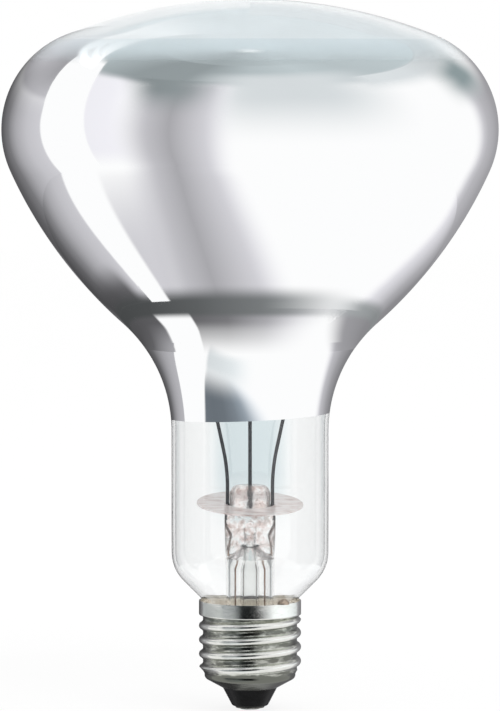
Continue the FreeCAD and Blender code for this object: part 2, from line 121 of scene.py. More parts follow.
# Cards that only the mirror or the glass sees. Their angles are degrees round the lamp from
# the camera, + to the right, and their lengths are millimetres. Later layers lie in front.
BACK = 180
CARD_STEPS = (96, 12)
WALL_RADIUS = 128.0
WALL_FOOT = 91.0
DECK_HEIGHT = 92.5
WALL_LAYER = 0.3
DECK_LAYER = 0.03
HARD_EDGE = 1e-4
SHARP = (0, 0, 0, 0)
WHITE = (1, 1, 1)
COOL = (0.93, 0.98, 1.0)
TEAL = (0.80, 0.97, 1.0)
VIOLET = (0.96, 0.95, 1.0)
SKY = (0.86, 0.97, 1.0)
BLUE = (0.84, 0.97, 1.1)
SMUDGE_LEVELS = [0.80, 0.62, 0.42, 0.66, 0.95]


def new_material(name, **sockets):
    """A material with these values on its shader's sockets, and its tree and shader."""
    material = bpy.data.materials.new(name)
    material.use_nodes = True
    shader = material.node_tree.nodes["Principled BSDF"]
    for key, value in sockets.items():
        shader.inputs[key.replace("_", " ")].default_value = value
    return material, material.node_tree, shader


def add_node(tree, kind, inputs=None, **settings):
    """A node with these settings, its inputs linked to sockets or set to values."""
    node = tree.nodes.new(kind)
    for key, value in settings.items():
        setattr(node, key, value)
    for key, value in (inputs or {}).items():
        if isinstance(value, bpy.types.NodeSocket):
            tree.links.new(value, node.inputs[key])
        else:
            node.inputs[key].default_value = value
    return node


def place(tree, stretch):
    """The point's own place on the object, in metres, stretched along each axis."""
    spot = add_node(tree, "ShaderNodeTexCoord")
    moved = add_node(tree, "ShaderNodeMapping", {"Vector": spot.outputs["Object"], "Scale": stretch})
    return moved.outputs["Vector"]


def noise(tree, size, detail, stretch=(1, 1, 1)):
    """Noise whose grains are about this size in metres."""
    made = add_node(
        tree, "ShaderNodeTexNoise",
        {"Vector": place(tree, stretch), "Scale": 1 / size, "Detail": detail, "Roughness": 0.55},
    )
    return made.outputs["Fac"]


def ramp(tree, factor, stops):
    """Colours or greys spread over the factor, as (position, colour) pairs."""
    node = add_node(tree, "ShaderNodeValToRGB", {"Fac": factor})
    elements = node.color_ramp.elements
    while len(elements) < len(stops):
        elements.new(0.5)
    for element, (position, colour) in zip(elements, stops):
        element.position = position
        element.color = (*colour, 1) if len(colour) == 3 else colour
    return node.outputs["Color"]


def spread(tree, factor, low, high, to_low, to_high):
    """The factor's span from low to high, stretched to another one and kept inside it."""
    node = add_node(
        tree, "ShaderNodeMapRange",
        {"Value": factor, "From Min": low, "From Max": high, "To Min": to_low, "To Max": to_high},
    )
    return node.outputs["Result"]


def vary(tree, factor, low, high):
    """Values from low to high with a noise."""
    return spread(tree, factor, *WIDE_SPAN, low, high)


def shades(tree, factor, dark, light, span=WIDE_SPAN):
    """Colours from dark to light with a noise."""
    return ramp(tree, factor, list(zip(span, (dark, light))))


def math_node(tree, operation, first, second):
    """What the operation makes of two values or sockets."""
    return add_node(tree, "ShaderNodeMath", {0: first, 1: second}, operation=operation).outputs[0]


def spot_and_height(tree):
    """The point's place on the object, and its height there, in metres."""
    spot = add_node(tree, "ShaderNodeTexCoord").outputs["Object"]
    parts = add_node(tree, "ShaderNodeSeparateXYZ", {"Vector": spot})
    return spot, parts.outputs["Z"]


def bump(tree, shader, height, depth):
    """Relief this deep on the shader."""
    node = add_node(tree, "ShaderNodeBump", {"Height": height, "Distance": depth})
    tree.links.new(node.outputs["Normal"], shader.inputs["Normal"])


def glass_material(name):
    """Blown glass with faint drawn waves in its surface."""
    material, tree, shader = new_material(
        name, Transmission_Weight=1.0, IOR=BLOWN_GLASS_IOR, Roughness=0.0
    )
    cloud = noise(tree, 9 * MM, detail=2.0, stretch=(1, 1, 0.35))
    tint = (0.99, 0.996, 0.996)
    shade = tuple(0.99 * c for c in tint)
    tree.links.new(shades(tree, cloud, shade, tint, NARROW_SPAN), shader.inputs["Base Color"])
    bump(tree, shader, cloud, depth=0.03 * MM)
    return material


def silvered_material(name):
    """Glass silvered on its back: a mirror that thins out above the film's edge."""
    material, tree, shader = new_material(
        name, Transmission_Weight=1.0, IOR=BLOWN_GLASS_IOR, Coat_Weight=0.25, Coat_Roughness=0.02
    )
    waver = 0.2 * MM
    ragged = vary(tree, noise(tree, 14 * MM, detail=2.0, stretch=(1, 1, 0.4)), -waver, waver)
    height = math_node(tree, "ADD", spot_and_height(tree)[1], ragged)
    level = spread(tree, height, FILM_TOP, FILM_TOP + FILM_FADE, 0.0, 1.0)
    silver = (0.975, 0.98, 0.985)
    tree.links.new(shades(tree, level, silver, FACE_TINT, (0.0, 1.0)), shader.inputs["Base Color"])
    tree.links.new(spread(tree, level, 0.0, 1.0, 1.0, 0.0), shader.inputs["Metallic"])
    mottle = vary(tree, noise(tree, 3 * MM, detail=4.0), 0.02, 0.06)
    haze = spread(tree, level, 0.0, 1.0, 0.0, 0.1)
    tree.links.new(math_node(tree, "ADD", mottle, haze), shader.inputs["Roughness"])
    bump(tree, shader, noise(tree, 22 * MM, detail=1.0), depth=0.02 * MM)
    return material


def frosted_material(name):
    """The face's etched inside: pale, soft and see-through only as a glow."""
    material, tree, shader = new_material(name, Transmission_Weight=0.55, IOR=BLOWN_GLASS_IOR)
    cloud = noise(tree, 16 * MM, detail=3.0)
    paler = tuple(min(1, 1.06 * c) for c in FACE_TINT)
    tree.links.new(shades(tree, cloud, FACE_TINT, paler, NARROW_SPAN), shader.inputs["Base Color"])
    tree.links.new(vary(tree, noise(tree, 1 * MM, detail=4.0), 0.45, 0.6), shader.inputs["Roughness"])
    bump(tree, shader, noise(tree, 0.6 * MM, detail=3.0), depth=0.02 * MM)
    return material


def metal_material(name, dark, light, roughness, grain, stretch=(1, 1, 1), depth=0.01 * MM):
    """Bare metal, mottled between two shades, with its grain in roughness and bump."""
    material, tree, shader = new_material(name, Metallic=1.0)
    coarse = noise(tree, 6 * grain, detail=4.0, stretch=stretch)
    fine = noise(tree, grain, detail=5.0, stretch=stretch)
    tree.links.new(shades(tree, coarse, dark, light), shader.inputs["Base Color"])
    rough = vary(tree, fine, roughness * 0.75, roughness * 1.3)
    tree.links.new(rough, shader.inputs["Roughness"])
    bump(tree, shader, fine, depth)
    return material


def cap_material(name):
    """Rolled cap metal, lighter on its crests, with painted shade darkening the grooves of its
    thread.
    """
    material, tree, shader = new_material(name, Metallic=1.0)
    spot = spot_and_height(tree)[0]
    flat = add_node(tree, "ShaderNodeVectorMath", {0: spot, 1: (1, 1, 0)}, operation="MULTIPLY")
    radius = add_node(tree, "ShaderNodeVectorMath", {0: flat.outputs[0]}, operation="LENGTH")
    coarse = noise(tree, 3 * MM, detail=5.0, stretch=(1, 1, 3))
    patchy = vary(tree, coarse, -0.25 * MM, 0.25 * MM)
    depth = math_node(tree, "ADD", radius.outputs["Value"], patchy)
    # Painted shade: the base colour darkens with depth into the thread's grooves and is lightest on
    # the crests.
    share = spread(tree, depth, COLLAR_RADIUS - THREAD_DEPTH, COLLAR_RADIUS, 0.0, 1.0)
    groove_shade, metal, crest_tone = (0.16, 0.165, 0.145), (0.60, 0.61, 0.56), (0.80, 0.80, 0.77)
    tree.links.new(
        ramp(tree, share, [(0.0, groove_shade), (0.3, metal), (1.0, crest_tone)]), shader.inputs["Base Color"]
    )
    fine = noise(tree, 0.4 * MM, detail=5.0, stretch=(1, 1, 5))
    tree.links.new(vary(tree, fine, 0.12, 0.24), shader.inputs["Roughness"])
    bump(tree, shader, coarse, depth=0.05 * MM)
    return material


def rough_material(name, dark, light, roughness, grain, depth):
    """A matte solid such as cement, speckled between two shades."""
    material, tree, shader = new_material(name, Roughness=roughness)
    speckle = noise(tree, grain, detail=6.0)
    tree.links.new(shades(tree, speckle, dark, light, NARROW_SPAN), shader.inputs["Base Color"])
    bump(tree, shader, speckle, depth)
    return material


def mica_material(name):
    """Pale split mica: flaky, half see-through, with tan stains."""
    material, tree, shader = new_material(name, Roughness=0.3, Alpha=0.6)
    stain = noise(tree, 4 * MM, detail=6.0, stretch=(1, 2.2, 1))
    pale, pink, tan = (0.80, 0.77, 0.76), (0.68, 0.58, 0.56), (0.36, 0.26, 0.23)
    colour = ramp(tree, stain, [(0.34, tan), (0.44, pink), (0.6, pale)])
    tree.links.new(colour, shader.inputs["Base Color"])
    bump(tree, shader, noise(tree, 1.2 * MM, detail=6.0), depth=0.05 * MM)
    return material


def stem_material(name):
    """Stem glass, clear in its tube and clouded with oxide where it was pinched on the wires."""
    material, tree, shader = new_material(name, Transmission_Weight=1.0, IOR=PRESSED_GLASS_IOR)
    height = spot_and_height(tree)[1]
    pinched = spread(tree, height, PRESS_BOTTOM, PRESS_BOTTOM + PRESS_RISE, 0.0, 1.0)
    cloud = math_node(tree, "MULTIPLY", pinched, noise(tree, 1.6 * MM, detail=6.0))
    clear, pink, brown = (0.985, 0.99, 0.985), (0.95, 0.87, 0.85), (0.55, 0.42, 0.38)
    tint = ramp(tree, cloud, [(0.0, clear), (0.42, clear), (0.52, pink), (0.62, brown)])
    tree.links.new(tint, shader.inputs["Base Color"])
    tree.links.new(spread(tree, cloud, 0.4, 0.6, 0.01, 0.2), shader.inputs["Roughness"])
    bump(tree, shader, cloud, depth=0.25 * MM)
    return material


def black_glass_material(name):
    """Moulded black glass with a faint swirl and dulled patches."""
    material, tree, shader = new_material(name, IOR=PRESSED_GLASS_IOR, Specular_IOR_Level=0.1)
    swirl = noise(tree, 3 * MM, detail=4.0, stretch=(1, 1, 2))
    black, smoke = (0.002, 0.002, 0.002), (0.006, 0.006, 0.007)
    tree.links.new(shades(tree, swirl, black, smoke), shader.inputs["Base Color"])
    tree.links.new(vary(tree, swirl, 0.12, 0.3), shader.inputs["Roughness"])
    bump(tree, shader, swirl, depth=0.06 * MM)
    return material


MATERIALS = {
    "clear_glass": glass_material("clear_glass"),
    "mirror_film": silvered_material("mirror_film"),
    "stem_glass": stem_material("stem_glass"),
    "mica": mica_material("mica"),
    "nickel_wire": metal_material(
        "nickel_wire", dark=(0.02, 0.022, 0.028), light=(0.05, 0.053, 0.06),
        roughness=0.35, grain=0.3 * MM,
    ),
    "seal_wire": metal_material(
        "seal_wire", dark=(0.10, 0.055, 0.04), light=(0.20, 0.10, 0.07),
        roughness=0.35, grain=0.2 * MM,
    ),
    "copper_wire": metal_material(
        "copper_wire", dark=(0.20, 0.11, 0.07), light=(0.36, 0.20, 0.13),
        roughness=0.3, grain=0.2 * MM,
    ),
    "hook_wire": metal_material(
        "hook_wire", dark=(0.22, 0.22, 0.23), light=(0.36, 0.36, 0.37),
        roughness=0.3, grain=0.1 * MM,
    ),
    "tungsten": metal_material(
        "tungsten", dark=(0.10, 0.10, 0.11), light=(0.22, 0.22, 0.23),
        roughness=0.4, grain=0.1 * MM,
    ),
    "cap_shell": cap_material("cap_shell"),
    "black_glass": black_glass_material("black_glass"),
    "contact_brass": metal_material(
        "contact_brass", dark=(0.08, 0.08, 0.075), light=(0.16, 0.155, 0.14),
        roughness=0.3, grain=0.4 * MM,
    ),
    "solder": metal_material(
        "solder", dark=(0.42, 0.42, 0.42), light=(0.66, 0.66, 0.66),
        roughness=0.35, grain=0.5 * MM, depth=0.04 * MM,
    ),
    "brown_solder": metal_material(
        "brown_solder", dark=(0.30, 0.22, 0.15), light=(0.55, 0.46, 0.38),
        roughness=0.4, grain=0.5 * MM, depth=0.06 * MM,
    ),
    "cement": rough_material(
        "cement", dark=(0.55, 0.49, 0.40), light=(0.76, 0.70, 0.60),
        roughness=0.9, grain=0.6 * MM, depth=0.15 * MM,
    ),
}


def dress_frame():
    """Give every solid of the frame the material of its slot."""
    for part in frame["record"]["subparts"]:
        mesh = frame["nodes"][part["node"]].data
        mesh.materials.clear()
        mesh.materials.append(MATERIALS[part["material_slot"]])


def arc_height(centre_radius, distance):
    """Height of an arc centre that lies this far outside the taper line."""
    reach = (centre_radius - TAPER_RIM_RADIUS) * math.cos(TAPER_ANGLE) - distance
    return CAP_HEIGHT + reach / math.sin(TAPER_ANGLE)


def bulb_arcs():
    """The outline's arcs from the stub to the crown: centre, radius, side, start and end."""
    stub_radius = STUB_RADIUS + STUB_FILLET
    stub = (stub_radius, arc_height(stub_radius, STUB_FILLET))
    heel_radius = NECK_RADIUS - NECK_CORNER
    heel = (heel_radius, arc_height(heel_radius, -NECK_CORNER))
    neck = (NECK_RADIUS + NECK_FILLET, NECK_TOP)
    shoulder = (BOWL_RADIUS - SHOULDER_RADIUS, WIDEST)
    gap_r = neck[0] - shoulder[0]
    gap_z = neck[1] - shoulder[1]
    gap = math.hypot(gap_r, gap_z)
    to_shoulder = FLANK_RADIUS - SHOULDER_RADIUS
    to_neck = FLANK_RADIUS + NECK_FILLET
    along = (to_shoulder**2 - to_neck**2 + gap**2) / (2 * gap)
    across = math.sqrt(to_shoulder**2 - along**2)
    flank = (
        shoulder[0] + (along * gap_r + across * gap_z) / gap,
        shoulder[1] + (along * gap_z - across * gap_r) / gap,
    )
    flank_top = math.atan2(shoulder[1] - flank[1], shoulder[0] - flank[0])
    flank_bottom = math.atan2(neck[1] - flank[1], neck[0] - flank[0])
    drop = math.sqrt((DOME_RADIUS - SHOULDER_RADIUS) ** 2 - shoulder[0] ** 2)
    dome_start = math.atan2(drop, shoulder[0])
    return [
        (stub, STUB_FILLET, -1, math.pi, math.pi - TAPER_ANGLE),
        (heel, NECK_CORNER, 1, -TAPER_ANGLE, 0),
        (neck, NECK_FILLET, -1, math.pi, math.pi + flank_bottom),
        (flank, FLANK_RADIUS, 1, flank_bottom, flank_top),
        (shoulder, SHOULDER_RADIUS, 1, flank_top, dome_start),
        ((0, WIDEST - drop), DOME_RADIUS, 1, dome_start, math.pi / 2),
    ]


class Outline:
    """The bulb's meridian, moved inwards by offset and measured along its length."""

    def __init__(self, offset):
        self.points = [(STUB_RADIUS - offset, SEAL_HEIGHT)]
        for centre, radius, side, start, end in bulb_arcs():
            reach = radius - side * offset
            steps = max(ARC_STEPS_LEAST, round(abs(end - start) * reach / ARC_STEP))
            for i in range(steps + 1):
                angle = start + (end - start) * i / steps
                self.points.append(
                    (centre[0] + reach * math.cos(angle), centre[1] + reach * math.sin(angle))
                )
        self.lengths = [0.0]
        for a, b in zip(self.points, self.points[1:]):
            self.lengths.append(self.lengths[-1] + math.dist(a, b))

    def at(self, length):
        """Radius and height at this length along the meridian."""
        low, high = 0, len(self.lengths) - 1
        while high - low > 1:
            middle = (low + high) // 2
            if self.lengths[middle] <= length:
                low = middle
            else:
                high = middle
        step = self.lengths[high] - self.lengths[low]
        share = min(max((length - self.lengths[low]) / step, 0), 1) if step else 0
        a, b = self.points[low], self.points[high]
        return a[0] + (b[0] - a[0]) * share, a[1] + (b[1] - a[1]) * share

    def length_at(self, height):
        """Length along the meridian where it first comes up to this height."""
        for (r, z), length in zip(self.points, self.lengths):
            if z >= height:
                return length
        return self.lengths[-1]


def stations(lengths):
    """Evenly spaced lengths that pass through each of the given ones."""
    found = [lengths[0]]
    for a, b in zip(lengths, lengths[1:]):
        count = max(1, round((b - a) / OUTLINE_STEP))
        found += [a + (b - a) * i / count for i in range(1, count + 1)]
    return found


def wall_ring(mesh, outline, length, skew_length):
    """One ring of the wall, tipped beside the film's lower edge as the film is."""
    radius, height = outline.at(length)
    if radius < POLE_RADIUS:
        return [mesh.verts.new((0, 0, height))]
    near = max(0.0, 1 - abs(length - skew_length) / SKEW_REACH)
    ring = []
    for i in range(TURN_STEPS):
        turn = 2 * math.pi * i / TURN_STEPS
        tipped = length + near * radius * math.cos(turn) * math.tan(FILM_SKEW)
        r, z = outline.at(tipped)
        ring.append(mesh.verts.new((r * math.cos(turn), r * math.sin(turn), z)))
    return ring


def join_rings(mesh, lower, upper, slot):
    """Faces between two rings that look outwards, or a fan where one is a point."""
    for i in range(TURN_STEPS):
        j = (i + 1) % TURN_STEPS
        if len(upper) == 1:
            corners = [lower[i], lower[j], upper[0]]
        elif len(lower) == 1:
            corners = [lower[0], upper[j], upper[i]]
        else:
            corners = [lower[i], lower[j], upper[j], upper[i]]
        face = mesh.faces.new(corners)
        face.smooth = True
        face.material_index = slot


def finish_mesh(name, mesh, materials, node):
    """A piece from a mesh with its materials, put on the root body, with the solid that it stands for
    hidden.
    """
    bmesh.ops.recalc_face_normals(mesh, faces=mesh.faces)
    data = bpy.data.meshes.new(name)
    mesh.to_mesh(data)
    mesh.free()
    for material in materials:
        data.materials.append(material)
    piece = bpy.data.objects.new(name, data)
    bpy.context.scene.collection.objects.link(piece)
    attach(piece, "root")
    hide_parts(node)
    return piece


def glass_piece():
    """The blown bulb, silvered where the film backs it and etched inside its face."""
    materials = [MATERIALS["clear_glass"], MATERIALS["mirror_film"], frosted_material("frosted_face")]
    clear, silvered, frosted = range(len(materials))
    mesh = bmesh.new()
    outer, inner = Outline(0), Outline(GLASS_WALL)
    rings = []
    for outline in (outer, inner):
        edge = outline.length_at(FILM_BOTTOM)
        top = outline.length_at(FILM_TOP + FILM_FADE)
        marks = stations([0, edge, top, outline.lengths[-1]])
        rings.append([(s, wall_ring(mesh, outline, s, edge)) for s in marks])
    edge, top = outer.length_at(FILM_BOTTOM), outer.length_at(FILM_TOP + FILM_FADE)
    for (a, lower), (b, upper) in zip(rings[0], rings[0][1:]):
        join_rings(mesh, lower, upper, silvered if edge < (a + b) / 2 < top else clear)
    face_edge = inner.length_at(FILM_TOP) - OUTLINE_STEP / 2
    for (a, lower), (b, upper) in zip(rings[1], rings[1][1:]):
        join_rings(mesh, lower, upper, frosted if a >= face_edge else clear)
    join_rings(mesh, rings[1][0][1], rings[0][0][1], clear)
    let_light_through(finish_mesh("bulb_glass", mesh, materials, "glass_bulb"))


def film_piece():
    """The metal film on the inside of the glass."""
    mesh = bmesh.new()
    walls = []
    for offset in (GLASS_WALL + FILM_GAP, GLASS_WALL + FILM_GAP + FILM_THICKNESS):
        outline = Outline(offset)
        edge, top = outline.length_at(FILM_BOTTOM), outline.length_at(FILM_TOP)
        walls.append([wall_ring(mesh, outline, s, edge) for s in stations([edge, top])])
    for wall in walls:
        for lower, upper in zip(wall, wall[1:]):
            join_rings(mesh, lower, upper, 0)
    join_rings(mesh, walls[1][0], walls[0][0], 0)
    join_rings(mesh, walls[0][-1], walls[1][-1], 0)
    materials = [MATERIALS["mirror_film"]]
    finish_mesh("mirror_film", mesh, materials, "mirror_coating")


def coil_piece():
    """The filament's turns, inside the tube that stands for them in the solids."""
    low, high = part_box("filament")
    tube = (high.z - low.z) / 2
    coil = tube - COIL_WIRE
    reach = high.x - tube
    start = math.asin(low.y / (reach - tube)) + COIL_WIRE / reach
    steps = COIL_TURNS * COIL_TURN_STEPS

    def centre_at(step):
        """The wire's centre, and its turns round the lamp and round the coil."""
        share = step / steps
        turn = start + (math.pi - 2 * start) * share
        phase = 2 * math.pi * COIL_TURNS * share
        across = reach + coil * math.cos(phase)
        height = (low.z + high.z) / 2 + coil * math.sin(phase)
        return Vector((across * math.cos(turn), across * math.sin(turn), height)), turn, phase

    mesh = bmesh.new()
    rings = []
    for step in range(steps + 1):
        centre, turn, phase = centre_at(step)
        ahead = (centre_at(step + 0.5)[0] - centre_at(step - 0.5)[0]).normalized()
        out = Vector(
            (math.cos(phase) * math.cos(turn), math.cos(phase) * math.sin(turn), math.sin(phase))
        )
        side = ahead.cross(out).normalized()
        out = side.cross(ahead)
        ring = []
        for i in range(COIL_WIRE_SIDES):
            angle = 2 * math.pi * i / COIL_WIRE_SIDES
            spoke = math.cos(angle) * out + math.sin(angle) * side
            ring.append(mesh.verts.new(centre + COIL_WIRE * spoke))
        rings.append(ring)
    for first, second in zip(rings, rings[1:]):
        for i in range(COIL_WIRE_SIDES):
            j = (i + 1) % COIL_WIRE_SIDES
            mesh.faces.new([first[i], first[j], second[j], second[i]]).smooth = True
    mesh.faces.new(rings[0])
    mesh.faces.new(rings[-1])
    finish_mesh("filament_coil", mesh, [MATERIALS["tungsten"]], "filament")


def let_light_through(glass):
    """Clear glass hides no light from what is inside it."""
    glass.visible_shadow = False
    glass.visible_diffuse = False


def add_camera():
    """The camera, and the plain way its picture is shown."""
    bpy.context.scene.view_settings.view_transform = "Standard"
    data = bpy.data.cameras.new("camera")
    data.sensor_width = SENSOR
    data.lens = SENSOR * CAMERA_DISTANCE / VIEW_HEIGHT
    camera = bpy.data.objects.new("camera", data)
    bpy.context.scene.collection.objects.link(camera)
    back = Vector((0, -math.cos(CAMERA_ELEVATION), math.sin(CAMERA_ELEVATION)))
    camera.location = AIM + back * CAMERA_DISTANCE
    camera.rotation_euler = (-back).to_track_quat("-Z", "Y").to_euler()
    bpy.context.scene.camera = camera


def add_world():
    """White all round, at the level that shows colours as they are written."""
    world = bpy.data.worlds.new("studio")
    world.use_nodes = True
    world.node_tree.nodes["Background"].inputs["Color"].default_value = (1, 1, 1, 1)
    bpy.context.scene.world = world


def stage_object(name, data, material):
    """An object that belongs to the studio and not to the lamp."""
    data.materials.append(material)
    made = bpy.data.objects.new(name, data)
    bpy.context.scene.collection.objects.link(made)
    return made


def card_material(name, colour, levels, softness, only_from):
    """A glowing card. Levels go evenly from its start to its end, and its edges fade out."""
    material = bpy.data.materials.new(name)
    material.use_nodes = True
    tree = material.node_tree
    tree.nodes.remove(tree.nodes["Principled BSDF"])
    shares = add_node(tree, "ShaderNodeUVMap").outputs["UV"]
    parts = add_node(tree, "ShaderNodeSeparateXYZ", {"Vector": shares})
    across, up = parts.outputs["X"], parts.outputs["Y"]
    stops = [
        (i / (len(levels) - 1), tuple(level * c for c in colour)) for i, level in enumerate(levels)
    ]
    glow = add_node(
        tree, "ShaderNodeEmission", {"Color": ramp(tree, across, stops), "Strength": 1.0}
    )
    left, right, bottom, top = softness
    fades = [
        add_fade(tree, across, 0, left),
        add_fade(tree, across, 1, 1 - right),
        add_fade(tree, up, 0, bottom),
        add_fade(tree, up, 1, 1 - top),
    ]
    if only_from:
        behind = add_node(tree, "ShaderNodeNewGeometry").outputs["Backfacing"]
        on_front, on_back = (1, 0) if only_from == "front" else (0, 1)
        fades.append(spread(tree, behind, 0, 1, on_front, on_back))
    cover = fades[0]
    for fade in fades[1:]:
        cover = math_node(tree, "MULTIPLY", cover, fade)
    clear = add_node(tree, "ShaderNodeBsdfTransparent")
    mixed = add_node(
        tree, "ShaderNodeMixShader", {0: cover, 1: clear.outputs["BSDF"], 2: glow.outputs["Emission"]}
    )
    tree.links.new(mixed.outputs["Shader"], tree.nodes["Material Output"].inputs["Surface"])
    return material


def add_fade(tree, factor, empty, full):
    """0 at empty, rising smoothly to 1 at full, or at once where both are the same."""
    if empty == full:
        full += HARD_EDGE if empty == 0 else -HARD_EDGE
    node = add_node(
        tree, "ShaderNodeMapRange",
        {"Value": factor, "From Min": empty, "From Max": full, "To Min": 0.0, "To Max": 1.0},
        interpolation_type="SMOOTHSTEP",
    )
    return node.outputs["Result"]


def only_seen_by(made, glossy, transmission):
    """Keep a card out of the picture and off the light, for mirror or glass alone."""
    made.visible_camera = False
    made.visible_diffuse = False
    made.visible_shadow = False
    made.visible_glossy = glossy
    made.visible_transmission = transmission


def grid_card(
    name, spot_at, levels, softness, colour, only_from=None, glossy=True, transmission=False
):
    """A card from a rule that gives the place of each share across and up."""
    mesh = bmesh.new()
    uv = mesh.loops.layers.uv.new("UVMap")
    grid = []
    across, up = CARD_STEPS
    for j in range(up + 1):
        shares = [(i / across, j / up) for i in range(across + 1)]
        grid.append([(mesh.verts.new(spot_at(*share)), share) for share in shares])
    for j in range(up):
        for i in range(across):
            corners = [grid[j][i], grid[j][i + 1], grid[j + 1][i + 1], grid[j + 1][i]]
            face = mesh.faces.new([corner[0] for corner in corners])
            for loop, corner in zip(face.loops, corners):
                loop[uv].uv = corner[1]
    data = bpy.data.meshes.new(name)
    mesh.to_mesh(data)
    mesh.free()
    made = stage_object(name, data, card_material(name, colour, levels, softness, only_from))
    only_seen_by(made, glossy, transmission)


def pair(value):
    """A number alone stands for both of its pair."""
    return value if isinstance(value, tuple) else (value, value)


def card(name, start, end, radii, heights, levels, softness=SHARP, colour=WHITE, bend=1, **seen):
    """A card curved round the lamp's axis.

    Start, end, radii and heights each have a value on the card's first side, the lower or
    outer one, and one on its last. The levels of light go evenly from start to end. The
    softness is the share of the card that fades at its start, end, first and last side. A
    bend above 1 keeps start and end upright on the first side and curves them on the last.
    """
    start, end, radii, heights = pair(start), pair(end), pair(radii), pair(heights)

    def spot_at(u, v):
        lean = v**bend
        first = start[0] + (start[1] - start[0]) * lean
        last = end[0] + (end[1] - end[0]) * lean
        turn = math.radians(first + (last - first) * u)
        radius = radii[0] + (radii[1] - radii[0]) * v
        height = heights[0] + (heights[1] - heights[0]) * v
        return Vector((radius * math.sin(turn), -radius * math.cos(turn), height)) * MM

    grid_card(name, spot_at, levels, softness, colour, **seen)


def wall(name, start, end, heights, levels, softness=SHARP, colour=WHITE, layer=0, bend=1, **seen):
    """An upright card at the wall's radius, or nearer by some layers."""
    radius = WALL_RADIUS - WALL_LAYER * layer
    card(name, start, end, radius, heights, levels, softness, colour, bend, **seen)


def deck(name, start, end, radii, levels, softness=SHARP, colour=WHITE, layer=0, bend=1):
    """A level card under the bowl, seen from above alone so that neck and cap look past it."""
    height = DECK_HEIGHT + DECK_LAYER * layer
    card(name, start, end, radii, height, levels, softness, colour, bend, only_from="front")


def add_floor():
    """A pale floor that shows as white and keeps a soft shadow under the lamp."""
    mesh = bmesh.new()
    corners = [(-1, -1), (1, -1), (1, 1), (-1, 1)]
    mesh.faces.new([mesh.verts.new((x * FLOOR_SIZE, y * FLOOR_SIZE, 0)) for x, y in corners])
    data = bpy.data.meshes.new("floor")
    mesh.to_mesh(data)
    mesh.free()
    material, tree, shader = new_material("floor", Roughness=0.9)
    cloud_size = 200 * MM
    pale, paler = (0.97, 0.97, 0.97), (0.98, 0.98, 0.98)
    mottled = shades(tree, noise(tree, cloud_size, detail=2.0), pale, paler)
    tree.links.new(mottled, shader.inputs["Base Color"])
    glow = add_node(tree, "ShaderNodeEmission", {"Color": (1, 1, 1, 1), "Strength": 1.0})
    path = add_node(tree, "ShaderNodeLightPath")
    seen = path.outputs["Is Camera Ray"]
    for ray in ("Is Glossy Ray", "Is Transmission Ray"):
        seen = math_node(tree, "MAXIMUM", seen, path.outputs[ray])
    share = spread(tree, seen, 0, 1, 0.0, FLOOR_GLOW)
    mixed = add_node(
        tree, "ShaderNodeMixShader",
        {0: share, 1: shader.outputs["BSDF"], 2: glow.outputs["Emission"]},
    )
    tree.links.new(mixed.outputs["Shader"], tree.nodes["Material Output"].inputs["Surface"])
    floor = stage_object("floor", data, material)
    floor.visible_glossy = False


def add_light(name, azimuth, elevation, distance, size, watts):
    """A square lamp that shines on the middle of the object from these degrees."""
    data = bpy.data.lights.new(name, "AREA")
    data.size = size
    data.energy = watts
    light = bpy.data.objects.new(name, data)
    bpy.context.scene.collection.objects.link(light)
    a, e = math.radians(azimuth), math.radians(elevation)
    towards = Vector((math.sin(a) * math.cos(e), -math.cos(a) * math.cos(e), math.sin(e)))
    light.location = AIM + towards * distance
    light.rotation_euler = towards.to_track_quat("Z", "Y").to_euler()
    light.visible_glossy = False


dress_frame()
glass_piece()
film_piece()
coil_piece()
for clear_node in ("stem_glass", "exhaust_tube", "support_bead"):
    let_light_through(frame["nodes"][clear_node])
add_camera()
add_world()
add_floor()
add_light("key", azimuth=40, elevation=45, distance=1.2, size=0.8, watts=4.0)

# What the silvered bowl mirrors above the decks: all round, then from left to right
wall(
    "high_ring", start=-BACK, end=BACK, heights=(232, 470),
    levels=[0.8, 0.77, 0.7, 0.475, 0.34, 0.345, 0.54, 0.62, 0.56, 0.6, 0.7, 0.78, 0.8],
    softness=(0, 0, 0.1, 0), colour=SKY,
)
card(
    "ceiling", start=-BACK, end=BACK, radii=(WALL_RADIUS, 1), heights=470,
    levels=[0.8, 0.77, 0.7, 0.55, 0.45, 0.42, 0.5, 0.58, 0.58, 0.64, 0.7, 0.78, 0.8],
    softness=(0, 0, 0, 0.2), colour=SKY,
)
wall(
    "strip", start=(-84, -144), end=(-60, -97), heights=(WALL_FOOT, 300), levels=[1, 1],
    softness=(0.03, 0.05, 0, 0.12), layer=5, bend=2.55,
)
wall(
    "beside_strip", start=(-68, -95), end=(-36, -48), heights=(WALL_FOOT, 268), levels=[0.9, 0.96],
    softness=(0, 0.5, 0.2, 0.2), colour=VIOLET, layer=1, bend=2.55,
)
wall(
    "strip_arch", start=-172, end=(-88, -134), heights=(252, 340), levels=[1.5, 1.4, 1.2],
    softness=(0.25, 0.05, 0.1, 0.2), layer=6, bend=1.6,
)
wall(
    "left_back", start=-BACK, end=-154, heights=(WALL_FOOT, 160), levels=[0.6, 0.3],
    softness=(0, 0, 0, 0.6), layer=1,
)
wall(
    "left_high", start=-156, end=(-86, -118), heights=(180, 270),
    levels=[0.85, 0.8, 0.62, 0.46, 0.38, 0.4], softness=(0.25, 0.02, 0.1, 0.15), colour=VIOLET,
    layer=2, bend=2,
)
wall(
    "left_dark", start=-156, end=(-86, -93), heights=(WALL_FOOT, 230),
    levels=[0.26, 0.09, 0.12, 0.2, 0.42, 0.58, 0.66], softness=(0, 0.02, 0, 0.5), colour=VIOLET,
    layer=3, bend=2,
)
wall(
    "front_upper", start=-34, end=72, heights=(125, 345), levels=[0.74, 0.73, 0.76],
    softness=(0.35, 0.4, 0.4, 0.36), colour=COOL, layer=1,
)
wall(
    "smudge", start=-52, end=-4, heights=(WALL_FOOT, 266), levels=SMUDGE_LEVELS,
    softness=(0.35, 0.25, 0, 0.2), colour=VIOLET, layer=2,
)
